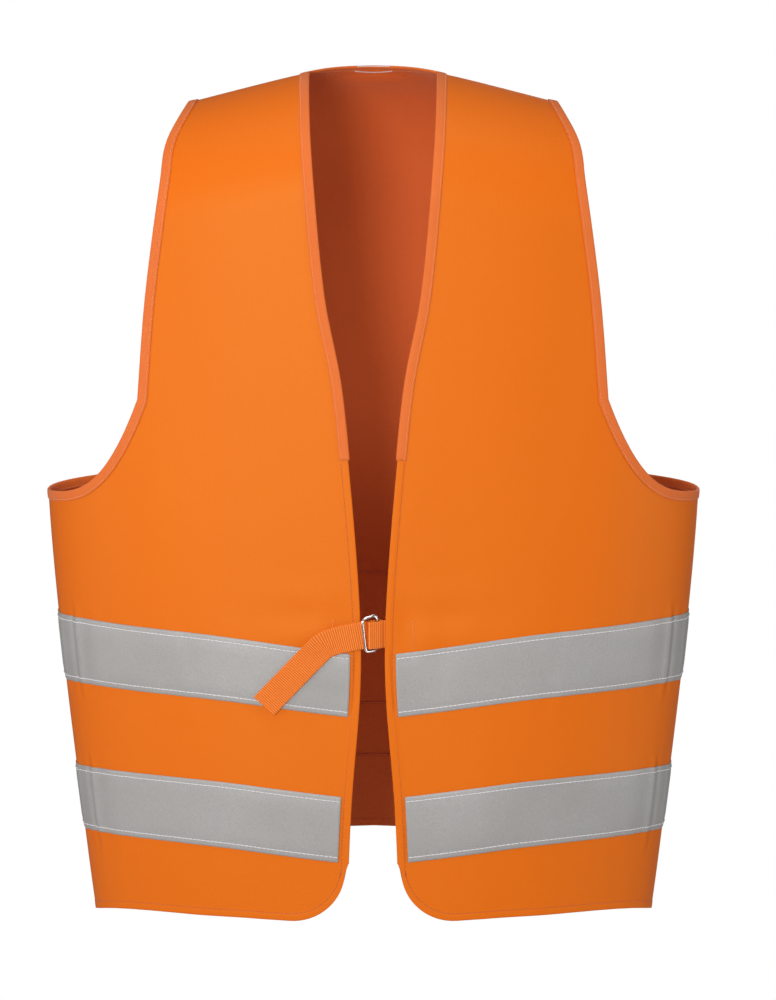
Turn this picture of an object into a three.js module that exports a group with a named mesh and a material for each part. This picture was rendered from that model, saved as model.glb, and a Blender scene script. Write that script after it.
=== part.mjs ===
// A sleeveless high visibility vest in its worn shape, open at the front and held by a strap in two rings.
// Millimetres. +Z is up, the front faces -Y, and the wearer's left is +X.
// The origin is the middle of the shoulder line, where the wearer's shoulders carry the vest.
import * as THREE from 'three';
import { mergeVertices } from 'three/addons/utils/BufferGeometryUtils.js';

// ---- The worn body shape ----
const HALF_CHEST = 246; // at the underarm
const HALF_HEM = 216;
const FRONT_DEPTH = 105;
const BACK_DEPTH = 100;
const SQUARENESS = 2.3; // 2 gives an oval body, more a squarer one
const SHOULDER_ROLL = 90; // how far the cloth drops while it rolls over the shoulder
const SHOULDER_FLAT = 37;
const SHOULDER_SLOPE = 0.26;
const SHOULDER_SOFT = 20; // how gently the slope of the shoulders begins
const SHOULDER_FADE = 300; // the slope of the shoulders has died out this far down

// ---- Levels of the cut cloth below the shoulder line ----
const UNDERARM = 317;
const TAPE_HEIGHT = 50;
const UPPER_TAPE_TOP = 408;
const LOWER_TAPE_TOP = 522;
const LOWER_TAPE_END = LOWER_TAPE_TOP + TAPE_HEIGHT;
const HEM = 628;
const BINDING_END = 279; // where the neck binding stops on the front edge
const CLOSURE = 408; // middle of the closure at the front edge

// ---- Outlines ----
const NECK_HALF = 48;
const BACK_NECK_SCOOP = 6;
const CORNER_RADIUS = 42; // front hem corner
const UNDERARM_HEIGHT = 83; // from where the armhole turns to the side seam
// Half the gap between the fronts, as [level, half gap]
const FRONT_EDGE = [
  [0, NECK_HALF], [60, 44.5], [160, 35.5], [225, 23.5], [300, 16],
  [385, 9.3], [440, 9.5], [530, 16], [HEM, 20],
];
// Half the distance between the armholes, as [level, half distance]
const SHOULDER_EDGE = [[0, 136], [24, 149], [50, 152.5], [144, 163.7], [234, 170]];
// How much lower than its level the cloth hangs, from the side seam [0] to the middle of the body [1]
const SAG_SPOTS = [0, 0.35, 0.7, 1];
const FRONT_SAG = [
  [UNDERARM, [0, 0, 0, 0]],
  [UPPER_TAPE_TOP, [1, -2, 2, 16]],
  [LOWER_TAPE_TOP, [5, -2, -2, 10]],
  [LOWER_TAPE_END, [5, -2, -2, 10]],
  [HEM, [15, 0, -5, -1]],
];
const BACK_SAG = [
  [UNDERARM, [0, 0, 0, 0]],
  [UPPER_TAPE_TOP, [1, -5, -10, -13]],
  [LOWER_TAPE_TOP, [5, -6, -17, -22]],
  [LOWER_TAPE_END, [5, -6, -17, -22]],
  [HEM, [15, 2, -16, -23]],
];

// ---- Cloth, trim and hardware ----
const CLOTH = 0.8;
const SEAM_GAP = 0.4;
const CLEAR = 0.35;
const TAPE = 0.5;
const TAPE_INSET = 8; // from the front edge to the end of a tape
const BINDING = 0.5;
const BINDING_WIDTH = 6.5;
const BINDING_CLEAR = 0.6;
const WEBBING = 1;
const WEBBING_WIDTH = 20;
const SEWN_DEPTH = 22; // how far inside the front edge the webbing is sewn down
const WIRE_RADIUS = 1;
const RING_PLAY = 0.4; // between a ring and the edge of the webbing
const RING_CLEAR = 0.5; // between a wire and what lies against it
const RING_LENGTH = 10.6; // from the middle of one side of a ring to the middle of the other
const RING_CORNER = 2;
const RING_OFFSET = 1.2; // how far the rings are pulled towards the wearer's right
const FOLD_ROOM = 3; // from the strap's turn to the middle of the loop's fold
// The hanging end of the strap, as [sideways, down] from the ring
const STRAP_TAIL = [[0, 0], [-7, 1.5], [-17, 7.5], [-32, 18], [-52, 36], [-72, 54]];
const LABEL = { width: 17, height: 12, thickness: 0.4, below: 10 };

const ORANGE = 0xee7010;
const BINDING_ORANGE = 0xf6803a;
const WEBBING_ORANGE = 0xf07314;
const SILVER_GREY = 0xb4b4ae;
const NICKEL = 0xc9c8c4;
const LABEL_WHITE = 0xece8e4;

const RIGHT_ANGLE = Math.PI / 2;

// A smooth line through [position, value] pairs, read at one position.
function smoothLine(pairs, position) {
  const last = pairs.length - 1;
  let i = 0;
  while (i < last - 1 && position > pairs[i + 1][0]) i += 1;
  const slopeAt = (k) => {
    const before = pairs[Math.max(k - 1, 0)];
    const after = pairs[Math.min(k + 1, last)];
    return (after[1] - before[1]) / (after[0] - before[0]);
  };
  const span = pairs[i + 1][0] - pairs[i][0];
  const t = THREE.MathUtils.clamp((position - pairs[i][0]) / span, 0, 1);
  const startPart = (1 + 2 * t) * (1 - t) ** 2 * pairs[i][1] + t * (1 - t) ** 2 * span * slopeAt(i);
  const endPart = t * t * (3 - 2 * t) * pairs[i + 1][1] - t * t * (1 - t) * span * slopeAt(i + 1);
  return startPart + endPart;
}

// How far the cloth hangs below its level, at an angle round the body:
// 0 in the middle, 90 degrees at the side.
function sagOf(table, level, angle) {
  if (level <= UNDERARM) return 0;
  const spot = 1 - Math.abs(angle) / RIGHT_ANGLE;
  const atLine = (line) => smoothLine(SAG_SPOTS.map((s, k) => [s, line[1][k]]), spot);
  const next = Math.max(1, table.findIndex((line) => line[0] >= level));
  const [above, below] = [table[next - 1], table[next]];
  const t = (level - above[0]) / (below[0] - above[0]);
  return THREE.MathUtils.lerp(atLine(above), atLine(below), t);
}

function halfWidth(drop) {
  const t = Math.max(drop - UNDERARM, 0) / (HEM - UNDERARM);
  return HALF_CHEST - (HALF_CHEST - HALF_HEM) * t ** 1.3;
}

// The point of the worn shape at an angle round the body and a drop below the shoulder line.
function bodyPoint(side, angle, drop) {
  const across = Math.sin(Math.abs(angle)) ** (2 / SQUARENESS);
  const outward = Math.max(Math.cos(angle), 0) ** (2 / SQUARENESS);
  const roll = Math.sqrt(1 - (1 - Math.min(Math.max(drop, 0) / SHOULDER_ROLL, 1)) ** 2);
  const x = Math.sign(angle) * halfWidth(drop) * across;
  const beyond = Math.abs(x) - SHOULDER_FLAT;
  const slope = (-SHOULDER_SLOPE * (beyond + Math.hypot(beyond, SHOULDER_SOFT))) / 2;
  const fade = 1 - THREE.MathUtils.smoothstep(drop, 0, SHOULDER_FADE);
  const y = side.facing * (SEAM_GAP / 2 + side.depth * outward * roll);
  return new THREE.Vector3(x, y, slope * fade - drop);
}

// The same point moved out from the cloth's outer face.
function offBody(side, angle, drop, out) {
  const step = 0.002;
  const here = bodyPoint(side, angle, drop);
  const around = bodyPoint(side, angle + step, drop).sub(bodyPoint(side, angle - step, drop));
  if (Math.abs(angle) > RIGHT_ANGLE - step) around.set(0, -side.facing * Math.sign(angle), 0);
  const down = bodyPoint(side, angle, drop + step).sub(bodyPoint(side, angle, Math.max(drop - step, 0)));
  const normal = around.cross(down).normalize().multiplyScalar(side.facing);
  return here.addScaledVector(normal, out);
}

// The underarm curve of the back is cut squarer than the front's. Its rows crowd towards its start by bunch.
const FRONT = {
  facing: -1, depth: FRONT_DEPTH, sag: FRONT_SAG, curve: { flatness: 6, slope: 0.1, rows: 10, bunch: 1.2 },
};
const BACK = {
  facing: 1, depth: BACK_DEPTH, sag: BACK_SAG, curve: { flatness: 14, slope: 0.03, rows: 13, bunch: 1.4 },
};

function angleAt(x, drop) {
  const share = Math.min(Math.abs(x) / halfWidth(drop), 1);
  return Math.sign(x) * Math.asin(share ** (SQUARENESS / 2));
}

// The level of the underarm curve a share of the way round from its start to the side seam.
function curveLevel(side, share) {
  const { flatness, slope } = side.curve;
  const left = 1 - share;
  return UNDERARM - UNDERARM_HEIGHT * ((1 - slope) * left ** flatness + slope * left);
}

// The armhole edge: down from the shoulder tip, then round the underarm to the side seam.
function armholeAngle(side, level) {
  const start = UNDERARM - UNDERARM_HEIGHT;
  if (level <= start) return angleAt(smoothLine(SHOULDER_EDGE, level), level);
  let [low, high] = [0, 1];
  for (let k = 0; k < 40; k += 1) {
    const middle = (low + high) / 2;
    if (curveLevel(side, middle) < level) low = middle;
    else high = middle;
  }
  return THREE.MathUtils.lerp(armholeAngle(side, start), RIGHT_ANGLE, high);
}

// ---- Rows and columns that every cloth piece shares ----
const steps = (count) => Array.from({ length: count + 1 }, (_, k) => k / count);
const between = (from, to, count) => steps(count).slice(1).map((t) => THREE.MathUtils.lerp(from, to, t));
const ROLL_ROWS = [0, 0.07, ...between(0.07, 1, 6)].map((t) => ({ roll: t }));
function curveRows(side) {
  return steps(side.curve.rows).slice(1).map((t) => curveLevel(side, t ** side.curve.bunch));
}
const levelRows = (side) => [
  ...between(SHOULDER_ROLL, UNDERARM - UNDERARM_HEIGHT, 3),
  ...curveRows(side),
  ...between(UNDERARM, UPPER_TAPE_TOP, 2),
  UPPER_TAPE_TOP + TAPE_HEIGHT,
  LOWER_TAPE_TOP,
  LOWER_TAPE_END,
].map((level) => ({ level }));
const HEM_ROWS = steps(3).slice(1).map((t) => ({ hem: t }));
const rowsOf = (side) => [...ROLL_ROWS, ...levelRows(side), ...HEM_ROWS];

const CORNER_COLUMNS = steps(5).map((t) => ({ fromEdge: CORNER_RADIUS * (1 - Math.cos(t * RIGHT_ANGLE)) }));
const SIDE_COLUMNS = steps(11).slice(1).map((t) => ({ toSide: 1 - (1 - t) ** 1.4 }));
const FRONT_COLUMNS = [...CORNER_COLUMNS, ...SIDE_COLUMNS];
const TAPE_COLUMNS = [
  { fromEdge: TAPE_INSET },
  ...FRONT_COLUMNS.filter((column) => !(column.fromEdge < TAPE_INSET + 2)),
];
const NECK_COLUMNS = steps(6).map((t) => ({ fromCentre: NECK_HALF * Math.sin(t * RIGHT_ANGLE) }));
const HALF_BACK = [...NECK_COLUMNS, ...SIDE_COLUMNS].map((column) => ({ ...column, way: 1 }));
const OTHER_HALF_BACK = HALF_BACK.slice(1).reverse().map((column) => ({ ...column, way: -1 }));
const BACK_COLUMNS = [...OTHER_HALF_BACK, ...HALF_BACK];

function frontAngle(column, level) {
  const edge = smoothLine(FRONT_EDGE, level);
  if (column.fromEdge !== undefined) return angleAt(edge + column.fromEdge, level);
  const start = angleAt(edge + CORNER_RADIUS, level);
  return THREE.MathUtils.lerp(start, armholeAngle(FRONT, level), column.toSide);
}

// Angle and drop of the front cloth where a row crosses a column.
function frontSpot(column, row) {
  if (row.roll !== undefined) {
    const drop = SHOULDER_ROLL * (1 - Math.cos(row.roll * RIGHT_ANGLE));
    return { angle: frontAngle(column, drop), drop };
  }
  const start = LOWER_TAPE_END;
  const level = row.level ?? THREE.MathUtils.lerp(start, HEM, row.hem);
  const angle = frontAngle(column, level);
  if (row.level !== undefined) return { angle, drop: level + sagOf(FRONT_SAG, level, angle) };
  const inCorner = Math.max(1 - (column.fromEdge ?? CORNER_RADIUS) / CORNER_RADIUS, 0);
  const corner = CORNER_RADIUS * (1 - Math.sqrt(1 - inCorner ** 2));
  const top = start + sagOf(FRONT_SAG, start, angle);
  const bottom = HEM + sagOf(FRONT_SAG, HEM, angle) - corner;
  return { angle, drop: THREE.MathUtils.lerp(top, bottom, row.hem) };
}

function backAngle(column, level) {
  if (column.fromCentre !== undefined) return column.way * angleAt(column.fromCentre, level);
  const start = angleAt(NECK_HALF, level);
  return column.way * THREE.MathUtils.lerp(start, armholeAngle(BACK, level), column.toSide);
}

// Where the roll over the shoulder starts at a column: further down where the neck is scooped out.
function neckTurn(column) {
  const scooped = Math.cos(((column.fromCentre ?? NECK_HALF) / NECK_HALF) * RIGHT_ANGLE) ** 2;
  return Math.acos(1 - (BACK_NECK_SCOOP * scooped) / SHOULDER_ROLL);
}

// Angle and drop of the back cloth where a row crosses a column.
function backSpot(column, row) {
  if (row.roll !== undefined) {
    const turn = THREE.MathUtils.lerp(neckTurn(column), RIGHT_ANGLE, row.roll);
    const drop = SHOULDER_ROLL * (1 - Math.cos(turn));
    return { angle: backAngle(column, drop), drop };
  }
  const level = row.level ?? THREE.MathUtils.lerp(LOWER_TAPE_END, HEM, row.hem);
  const angle = backAngle(column, level);
  return { angle, drop: level + sagOf(BACK_SAG, level, angle) };
}

// ---- Solids ----
function facingOut(geometry) {
  const p = geometry.attributes.position;
  const index = geometry.index.array;
  const [a, b, c] = [new THREE.Vector3(), new THREE.Vector3(), new THREE.Vector3()];
  let volume = 0;
  for (let k = 0; k < index.length; k += 3) {
    a.fromBufferAttribute(p, index[k]);
    b.fromBufferAttribute(p, index[k + 1]);
    c.fromBufferAttribute(p, index[k + 2]);
    volume += a.dot(b.cross(c));
  }
  if (volume < 0) {
    for (let k = 0; k < index.length; k += 3) [index[k], index[k + 1]] = [index[k + 1], index[k]];
  }
  geometry.computeVertexNormals();
  return geometry;
}

// Splits each square of a box's faces along its shorter diagonal, so slanted squares follow the cloth.
function shorterDiagonals(box) {
  const p = box.attributes.position;
  const index = box.index.array;
  const [one, other] = [new THREE.Vector3(), new THREE.Vector3()];
  const length = (a, b) => one.fromBufferAttribute(p, a).distanceTo(other.fromBufferAttribute(p, b));
  for (let k = 0; k < index.length; k += 6) {
    const [a, b, d, , c] = index.slice(k, k + 5);
    if (length(a, c) < length(b, d)) index.set([a, b, c, a, c, d], k);
  }
  return box;
}

// A closed strip of cloth: place(i, j, outer) gives each corner of its grid on the outer or inner face.
function clothSolid(across, along, place) {
  const box = new THREE.BoxGeometry(1, 1, 1, across, 1, along);
  box.deleteAttribute('normal');
  box.deleteAttribute('uv');
  const p = box.attributes.position;
  for (let k = 0; k < p.count; k += 1) {
    const i = Math.round((p.getX(k) + 0.5) * across);
    const j = Math.round((p.getZ(k) + 0.5) * along);
    const spot = place(i, j, p.getY(k) > 0);
    p.setXYZ(k, spot.x, spot.y, spot.z);
  }
  return facingOut(mergeVertices(shorterDiagonals(box), 1e-4));
}

const mirrorTo = (wearer, point) => point.setX(point.x * wearer);

function frontCloth(wearer, columns, rows, inner, outer) {
  return clothSolid(columns.length - 1, rows.length - 1, (i, j, isOuter) => {
    const { angle, drop } = frontSpot(columns[i], rows[j]);
    return mirrorTo(wearer, offBody(FRONT, angle, drop, isOuter ? outer : inner));
  });
}

function backCloth(rows, inner, outer) {
  return clothSolid(BACK_COLUMNS.length - 1, rows.length - 1, (i, j, isOuter) => {
    const { angle, drop } = backSpot(BACK_COLUMNS[i], rows[j]);
    return offBody(BACK, angle, drop, isOuter ? outer : inner);
  });
}

const tapeRows = (top) => rowsOf(FRONT).filter((row) => row.level >= top && row.level <= top + TAPE_HEIGHT);

// ---- Bindings ----
// Binding folded over an edge of the cloth.
// The stops run along the edge; inside is a small step into the cloth.
function binding(side, wearer, stops, inside) {
  const fold = (isOuter) => {
    const reach = BINDING_CLEAR + (isOuter ? BINDING : 0);
    return [
      { into: BINDING_WIDTH, out: reach },
      { into: -reach, out: reach },
      { into: -reach, out: -CLOTH - reach },
      { into: BINDING_WIDTH, out: -CLOTH - reach },
    ];
  };
  return clothSolid(stops.length - 1, 3, (i, j, isOuter) => {
    const { into, out } = fold(isOuter)[j];
    const inward = inwardAt(side, stops, i, inside);
    const { angle, drop } = into > 0 ? movedOver(side, stops[i], inward, into) : stops[i];
    const spot = offBody(side, angle, drop, out);
    return mirrorTo(wearer, into > 0 ? spot : spot.addScaledVector(inward, into));
  });
}

// The direction into the cloth at one stop, square to the edge, or along the seam where the edge meets one.
function inwardAt(side, stops, i, inside) {
  const at = (spot) => bodyPoint(side, spot.angle, spot.drop);
  const here = at(stops[i]);
  const next = at(stops[Math.min(i + 1, stops.length - 1)]);
  const edgeWay = next.sub(at(stops[Math.max(i - 1, 0)])).normalize();
  const inward = at({ angle: stops[i].angle + inside.angle, drop: stops[i].drop + inside.drop }).sub(here);
  inward.addScaledVector(edgeWay, -inward.dot(edgeWay));
  if (Math.abs(here.y) < SEAM_GAP) inward.y = 0;
  return inward.normalize();
}

// Angle and drop of the spot reached by going a distance over the cloth.
function movedOver(side, spot, way, distance) {
  const step = 0.01;
  const here = bodyPoint(side, spot.angle, spot.drop);
  const turn = Math.abs(spot.angle) > RIGHT_ANGLE - 0.1 ? -Math.sign(spot.angle) * step : step;
  const round = bodyPoint(side, spot.angle + turn, spot.drop).sub(here).divideScalar(turn);
  const down = bodyPoint(side, spot.angle, spot.drop + step).sub(here).divideScalar(step);
  const [rr, rd, dd] = [round.dot(round), round.dot(down), down.dot(down)];
  const [wr, wd] = [way.dot(round) * distance, way.dot(down) * distance];
  const area = rr * dd - rd * rd;
  return { angle: spot.angle + (wr * dd - wd * rd) / area, drop: spot.drop + (wd * rr - wr * rd) / area };
}

const upperRows = (side) => rowsOf(side).filter((row) => row.roll !== undefined || row.level <= UNDERARM);
const NECK_ROWS = [...upperRows(FRONT).filter((row) => !(row.level > BINDING_END)), { level: BINDING_END }];
const ARMHOLE_COLUMN = { toSide: 1, way: 1 };
const INTO_ARMHOLE = { angle: -0.05, drop: 5 };
const armholeStops = (side, spotOf) => upperRows(side).map((row) => spotOf(ARMHOLE_COLUMN, row));
const neckStops = () => NECK_ROWS.map((row) => frontSpot({ fromEdge: 0 }, row));
const backNeckStops = () => {
  const columns = BACK_COLUMNS.filter((column) => column.fromCentre !== undefined);
  return columns.map((column) => backSpot(column, { roll: 0 }));
};

// ---- Closure: webbing and rings ----
const LAYER = -CLOTH - CLEAR - WEBBING / 2; // webbing flat against the inside of the cloth
// From the middle of the webbing to the middle of the wire it turns round
const TURN = WIRE_RADIUS + RING_CLEAR + WEBBING / 2;
const BAR_X = -RING_LENGTH / 2 - RING_OFFSET; // the side of each ring that the strap runs through
const LOOP_X = BAR_X + RING_LENGTH; // the side that the loop holds
const REAR_BAR = LAYER + TURN;
const FRONT_BAR = REAR_BAR + 2 * TURN;
const FRONT_LOOP_SIDE = -WIRE_RADIUS + CLEAR;
const REAR_LOOP_SIDE = FRONT_LOOP_SIDE - 2 * WIRE_RADIUS - RING_CLEAR;
const FRONT_EDGE_X = smoothLine(FRONT_EDGE, CLOSURE);
const SEWN_X = FRONT_EDGE_X + SEWN_DEPTH;

// A strip of webbing through stops in the front's own coordinates: x, drop, out from the cloth.
function webbingStrip(stops) {
  return clothSolid(stops.length - 1, 2, (i, j, isOuter) => {
    const [before, after] = [stops[Math.max(i - 1, 0)], stops[Math.min(i + 1, stops.length - 1)]];
    const run = Math.hypot(after.x - before.x, after.out - before.out);
    const half = (isOuter ? WEBBING : -WEBBING) / 2 / run;
    const { width } = stops[i];
    const aside = (j - 1) * (WEBBING_WIDTH / 2);
    const x = stops[i].x + (after.out - before.out) * half + width[0] * aside;
    const drop = stops[i].drop + width[1] * aside;
    return offBody(FRONT, angleAt(x, drop), drop, stops[i].out - (after.x - before.x) * half);
  });
}

const atClosure = (x, out) => ({ x, drop: CLOSURE, out, width: [0, 1] });

// The strap: sewn inside the wearer's right front, round the rear ring's bar, then hanging over that front.
function strapStops() {
  const inside = steps(4).map((t) => atClosure(THREE.MathUtils.lerp(-SEWN_X, BAR_X, t), LAYER));
  const around = steps(8).slice(1).map((t) =>
    atClosure(BAR_X + TURN * Math.sin(t * Math.PI), REAR_BAR - TURN * Math.cos(t * Math.PI)));
  const tail = new THREE.CatmullRomCurve3(
    STRAP_TAIL.map(([x, drop]) => new THREE.Vector3(x, drop, 0)), false, 'centripetal');
  const hanging = steps(16).slice(1).map((t) => {
    const spot = tail.getPointAt(t);
    const way = tail.getTangentAt(t);
    return { x: BAR_X + spot.x, drop: CLOSURE + spot.y, out: REAR_BAR + TURN, width: [way.y, -way.x] };
  });
  return [...inside, ...around, ...hanging];
}

const ringPlane = (x, bar, loopSide) => THREE.MathUtils.mapLinear(x, BAR_X, LOOP_X, bar, loopSide);

// The loop: both ends sewn inside the wearer's left front, its fold round the near sides of both rings.
function loopStops() {
  const foldX = BAR_X + 2 * TURN + FOLD_ROOM;
  const wedge = (x) => [
    ringPlane(x, FRONT_BAR, FRONT_LOOP_SIDE) + TURN,
    ringPlane(x, REAR_BAR, REAR_LOOP_SIDE) - TURN,
  ];
  const flat = [LAYER, LAYER - WEBBING - CLEAR];
  const shut = (x) => THREE.MathUtils.smoothstep(x, LOOP_X + WIRE_RADIUS, FRONT_EDGE_X - CLEAR);
  const side = (x, k) => THREE.MathUtils.lerp(wedge(x)[k], flat[k], shut(x));
  const shown = between(FRONT_EDGE_X, LOOP_X + WIRE_RADIUS, 5);
  const spots = [...between(SEWN_X, FRONT_EDGE_X, 3), ...shown, LOOP_X];
  const [high, low] = wedge(foldX);
  const radius = (high - low) / 2;
  const fold = steps(10).map((t) =>
    atClosure(foldX - radius * Math.sin(t * Math.PI), low + radius + radius * Math.cos(t * Math.PI)));
  const front = [SEWN_X, ...spots].map((x) => atClosure(x, side(x, 0)));
  const back = [SEWN_X, ...spots].reverse().map((x) => atClosure(x, side(x, 1)));
  return [...front, ...fold, ...back];
}

// A ring of wire: a rounded rectangle in a plane that leans back from the bar to the loop.
function ring(bar, loopSide) {
  const halfHeight = WEBBING_WIDTH / 2 + RING_PLAY + WIRE_RADIUS;
  const lean = Math.asin((bar - loopSide) / RING_LENGTH);
  const middle = [BAR_X + (RING_LENGTH / 2) * Math.cos(lean), (bar + loopSide) / 2];
  const outline = [];
  for (const [sx, sz] of [[1, 1], [-1, 1], [-1, -1], [1, -1]]) {
    for (const t of steps(4)) {
      const turn = (sx * sz > 0 ? t : 1 - t) * RIGHT_ANGLE;
      const p = sx * (RING_LENGTH / 2 - RING_CORNER * (1 - Math.cos(turn)));
      const z = sz * (halfHeight - RING_CORNER * (1 - Math.sin(turn)));
      const out = middle[1] - p * Math.sin(lean);
      const x = middle[0] + p * Math.cos(lean);
      outline.push(new THREE.Vector3(x, -FRONT_DEPTH - SEAM_GAP / 2 - out, z - CLOSURE));
    }
  }
  const path = new THREE.CatmullRomCurve3(outline, true, 'centripetal');
  const tube = new THREE.TubeGeometry(path, 56, WIRE_RADIUS, 8, true);
  tube.deleteAttribute('normal');
  tube.deleteAttribute('uv');
  return facingOut(mergeVertices(tube, 1e-4));
}

// ---- Neck label, sewn outside below the back neck binding ----
function label() {
  return clothSolid(4, 2, (i, j, isOuter) => {
    const x = LABEL.width * (i / 4 - 0.5);
    const turn = neckTurn({ fromCentre: 0 }) + (LABEL.below + (LABEL.height * j) / 2) / BACK_DEPTH;
    const drop = SHOULDER_ROLL * (1 - Math.cos(turn));
    return offBody(BACK, angleAt(x, drop), drop, CLEAR + (isOuter ? LABEL.thickness : 0));
  });
}

// ---- Assembly ----
const group = new THREE.Group();

function add(name, geometry, colour, roughness, metalness = 0) {
  const material = new THREE.MeshStandardMaterial({ color: colour, roughness, metalness });
  const mesh = new THREE.Mesh(geometry, material);
  mesh.name = name;
  group.add(mesh);
}

const fabric = (name, geometry) => add(name, geometry, ORANGE, 0.9);
const trim = (name, geometry) => add(name, geometry, BINDING_ORANGE, 0.9);
const tape = (name, geometry) => add(name, geometry, SILVER_GREY, 0.5);

fabric('back_panel', backCloth(rowsOf(BACK), -CLOTH, 0));
trim('neck_binding_back', binding(BACK, 1, backNeckStops(), { angle: 0, drop: 5 }));
add('neck_label', label(), LABEL_WHITE, 0.8);
for (const top of [UPPER_TAPE_TOP, LOWER_TAPE_TOP]) {
  const name = top === UPPER_TAPE_TOP ? 'upper_tape' : 'lower_tape';
  tape(`${name}_back`, backCloth(tapeRows(top), CLEAR, CLEAR + TAPE));
  tape(`${name}_front_right`, frontCloth(-1, TAPE_COLUMNS, tapeRows(top), CLEAR, CLEAR + TAPE));
  tape(`${name}_front_left`, frontCloth(1, TAPE_COLUMNS, tapeRows(top), CLEAR, CLEAR + TAPE));
}
for (const wearer of [-1, 1]) {
  const name = wearer < 0 ? 'right' : 'left';
  fabric(`front_panel_${name}`, frontCloth(wearer, FRONT_COLUMNS, rowsOf(FRONT), -CLOTH, 0));
  trim(`neck_binding_${name}`, binding(FRONT, wearer, neckStops(), { angle: 0.05, drop: 0 }));
  trim(`armhole_binding_front_${name}`, binding(FRONT, wearer, armholeStops(FRONT, frontSpot), INTO_ARMHOLE));
  trim(`armhole_binding_back_${name}`, binding(BACK, wearer, armholeStops(BACK, backSpot), INTO_ARMHOLE));
}
add('closure_strap', webbingStrip(strapStops()), WEBBING_ORANGE, 0.7);
add('ring_loop', webbingStrip(loopStops()), WEBBING_ORANGE, 0.7);
add('d_ring_rear', ring(REAR_BAR, REAR_LOOP_SIDE), NICKEL, 0.25, 1);
add('d_ring_front', ring(FRONT_BAR, FRONT_LOOP_SIDE), NICKEL, 0.25, 1);

export default group;
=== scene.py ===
"""A high visibility vest in its worn shape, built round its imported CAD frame.

The sizes here are millimetres, and each mesh is made from them in metres. The front faces -Y, +Z is up
and the wearer's left is +X. A drop is a distance below the shoulder line. An angle goes round the body,
from the middle (0) to the side seam (a right angle)."""
import math

import bpy
import numpy as np
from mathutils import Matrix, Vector


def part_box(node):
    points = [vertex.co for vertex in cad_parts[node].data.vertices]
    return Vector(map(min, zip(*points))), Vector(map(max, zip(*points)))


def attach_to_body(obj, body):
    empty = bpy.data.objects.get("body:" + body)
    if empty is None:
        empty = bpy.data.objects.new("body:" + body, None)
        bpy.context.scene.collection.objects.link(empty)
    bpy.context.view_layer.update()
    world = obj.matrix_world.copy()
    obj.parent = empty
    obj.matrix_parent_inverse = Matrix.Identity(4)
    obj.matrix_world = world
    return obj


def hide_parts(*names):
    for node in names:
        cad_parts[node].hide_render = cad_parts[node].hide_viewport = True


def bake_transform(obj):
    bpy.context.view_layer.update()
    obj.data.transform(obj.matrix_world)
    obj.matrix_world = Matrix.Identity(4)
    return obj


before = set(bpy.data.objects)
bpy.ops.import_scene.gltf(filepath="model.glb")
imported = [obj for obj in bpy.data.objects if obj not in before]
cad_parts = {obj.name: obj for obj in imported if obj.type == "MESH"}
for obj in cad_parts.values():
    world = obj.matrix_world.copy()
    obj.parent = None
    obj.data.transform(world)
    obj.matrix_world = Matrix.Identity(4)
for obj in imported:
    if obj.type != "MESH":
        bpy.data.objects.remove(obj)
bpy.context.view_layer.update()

MM = 0.001
RIGHT_ANGLE = math.pi / 2


def corners(node):
    """The lowest and the highest corner of a CAD node, in millimetres."""
    return [np.array(corner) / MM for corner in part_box(node)]


# ---- The worn body shape ----
BACK_LOW, BACK_HIGH = corners("back_panel")
FRONT_LOW, FRONT_HIGH = corners("front_panel_left")
SIDE_SAG = 15  # how much lower the hem hangs at the side seam
HALF_CHEST = BACK_HIGH[0]
HALF_HEM = HALF_CHEST - 30
BACK_DEPTH = BACK_HIGH[1]
FRONT_DEPTH = -FRONT_LOW[1]
HEM = -BACK_LOW[2] - SIDE_SAG
SQUARENESS = 2.3
SHOULDER_ROLL = 90
SHOULDER_FLAT = 37
SHOULDER_SLOPE = 0.26
SHOULDER_SOFT = 20  # how gently the slope of the shoulders begins
SHOULDER_FADE = 300  # the slope of the shoulders has died out this far down
SEAM_GAP = 0.05

# ---- Levels of the cut cloth below the shoulder line, and outlines ----
UNDERARM = 317
TAPE_HEIGHT = 50
TAPE_TOPS = {"upper": 408, "lower": 522}
TAPES_END = TAPE_TOPS["lower"] + TAPE_HEIGHT
CLOSURE = 408
NECK_HALF = 48
BACK_NECK_SCOOP = 6
NECK_STAND = 6.2  # how far the edge of the back neck stands up
BINDING_END = -corners("neck_binding_left")[0][2]
CORNER_RADIUS = 42
UNDERARM_HEIGHT = 83
# Half the gap between the fronts, and half the distance between the armholes, as (level, half distance)
FRONT_EDGE = [
    (0, NECK_HALF), (60, 44.5), (160, 35.5), (225, 23.5), (300, 16),
    (385, 9.3), (440, 9.5), (530, 16), (HEM, 20),
]
SHOULDER_EDGE = [(0, 136), (24, 149), (50, 152.5), (144, 163.7), (234, 170)]
# How much lower than its level the cloth hangs, from the side seam (0) to the middle of the body (1)
SAG_SPOTS = (0, 0.35, 0.7, 1)
FRONT_SAG = [
    (UNDERARM, (0, 0, 0, 0)),
    (TAPE_TOPS["upper"], (1, -2, 2, 16)),
    (TAPE_TOPS["lower"], (5, -2, -2, 10)),
    (TAPES_END, (5, -2, -2, 10)),
    (HEM, (SIDE_SAG, 0, -5, -1)),
]
BACK_SAG = [
    (UNDERARM, (0, 0, 0, 0)),
    (TAPE_TOPS["upper"], (1, -5, -10, -13)),
    (TAPE_TOPS["lower"], (5, -6, -17, -22)),
    (TAPES_END, (5, -6, -17, -22)),
    (HEM, (SIDE_SAG, 2, -16, -23)),
]

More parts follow.
